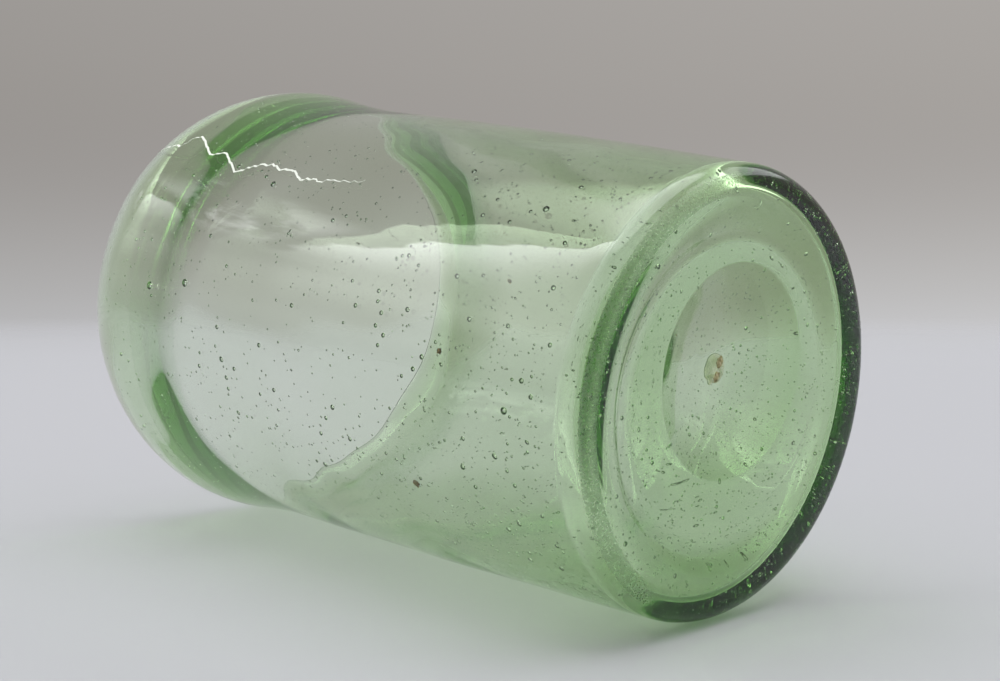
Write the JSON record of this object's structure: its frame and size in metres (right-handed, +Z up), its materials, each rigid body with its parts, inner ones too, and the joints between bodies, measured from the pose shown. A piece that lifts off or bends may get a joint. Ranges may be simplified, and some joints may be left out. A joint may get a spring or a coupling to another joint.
{
  "type": "blown glass beaker",
  "caption": "Free-blown beaker of pale green bubbly glass, a tall cup that widens to a softly flared lip, with a thick heel and a pushed-in base with a pontil scar.",
  "frame": {"origin": "centre of the ring that the beaker rests on, under its base", "axes": "+Z up the beaker's axis to the mouth, +Y towards the side to which the push in the base is off centre"},
  "size_m": [0.0874, 0.0874, 0.118],
  "materials": {
    "green_glass": "clear, fire-polished, full of small seeds, with a worn ring underneath",
    "scar_glass": "broken and rough",
    "iron_scale": "rusted, rough",
    "batch_stone": "matte"
  },
  "bodies": {
    "root": {"blown_wall": "green_glass", "pushed_in_base": "green_glass", "pontil_scar": "scar_glass", "iron_scale": "iron_scale", "batch_stones": "batch_stone"}
  },
  "joints": []
}
